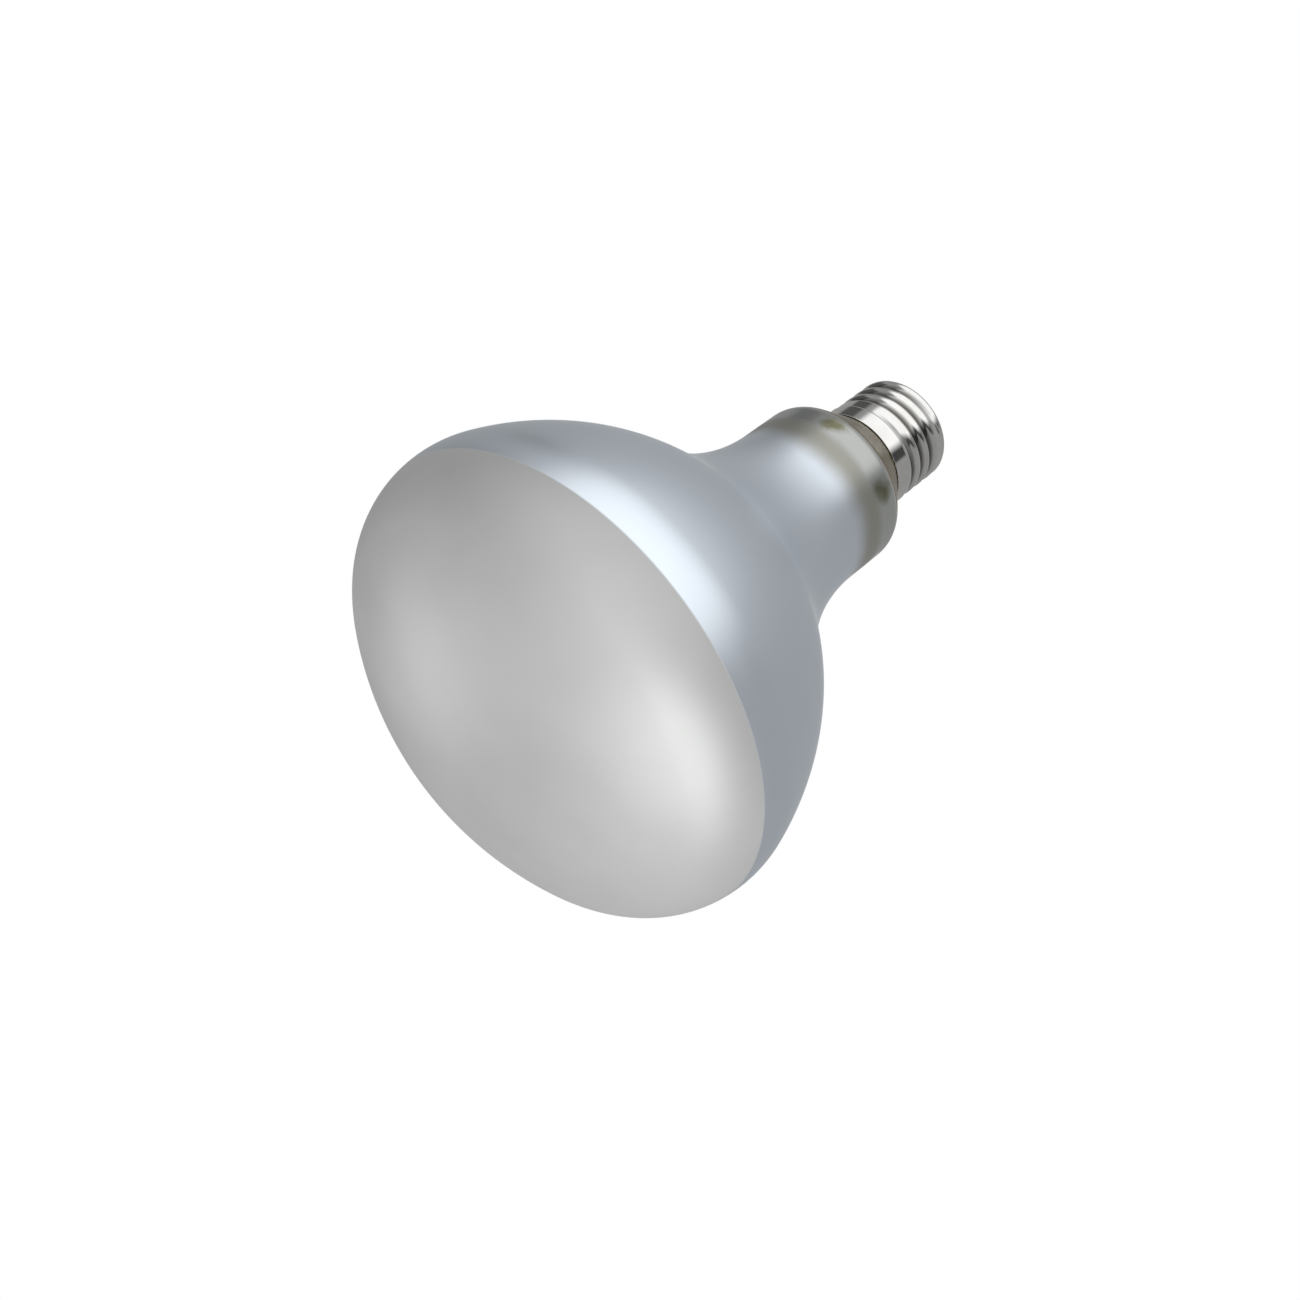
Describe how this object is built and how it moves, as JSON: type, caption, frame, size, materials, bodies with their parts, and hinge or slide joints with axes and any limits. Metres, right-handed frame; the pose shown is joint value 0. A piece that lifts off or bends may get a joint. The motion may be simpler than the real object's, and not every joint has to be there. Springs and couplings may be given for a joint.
{
  "type": "mercury vapour reflector lamp",
  "caption": "Mercury vapour reflector lamp: frosted domed face, silvered blown bulb narrowing to a neck, arc tube mount inside and a nickel-plated screw cap.",
  "frame": {"origin": "middle of the domed face, where the lamp's axis leaves the glass", "axes": "+Z along the lamp's axis from the face to the cap; +X towards the frame wire and the solder on the cap's lip"},
  "size_m": [0.112, 0.112, 0.1561],
  "materials": {
    "bulb_glass": "satin: frosted face, silvered body, clear at the shoulder",
    "cap_nickel": "polished nickel plate on brass",
    "cement": "matt baked cement",
    "cap_glass": "gloss black glass",
    "contact_metal": "plain",
    "solder": "dull",
    "stem_glass": "clear",
    "lead_wire": "drawn wire",
    "frame_wire": "drawn wire",
    "nickel_strip": "rolled strip",
    "quartz": "clear",
    "tungsten": "dull",
    "foil": "rolled",
    "ceramic": "matt",
    "mercury": "liquid mirror"
  },
  "bodies": {
    "root": {"bulb_envelope": "bulb_glass", "screw_shell": "cap_nickel", "basing_cement": "cement", "cap_insulator": "cap_glass", "centre_contact": "contact_metal", "centre_solder": "solder", "side_solder": "solder", "stem": "stem_glass", "exhaust_tube": "stem_glass", "contact_lead": "lead_wire", "shell_lead": "lead_wire", "support_frame": "frame_wire", "feed_strip": "nickel_strip", "arc_tube": "quartz", "electrode_cap_end": "tungsten", "electrode_face_end": "tungsten", "starting_electrode": "tungsten", "foil_cap_end": "foil", "foil_face_end": "foil", "foil_starting": "foil", "terminal_cap_end": "lead_wire", "terminal_face_end": "lead_wire", "terminal_starting": "lead_wire", "strap_cap_end": "nickel_strip", "strap_face_end": "nickel_strip", "starting_resistor": "ceramic", "resistor_lead_top": "lead_wire", "resistor_lead_frame": "lead_wire", "mercury_drop": "mercury"}
  },
  "joints": []
}
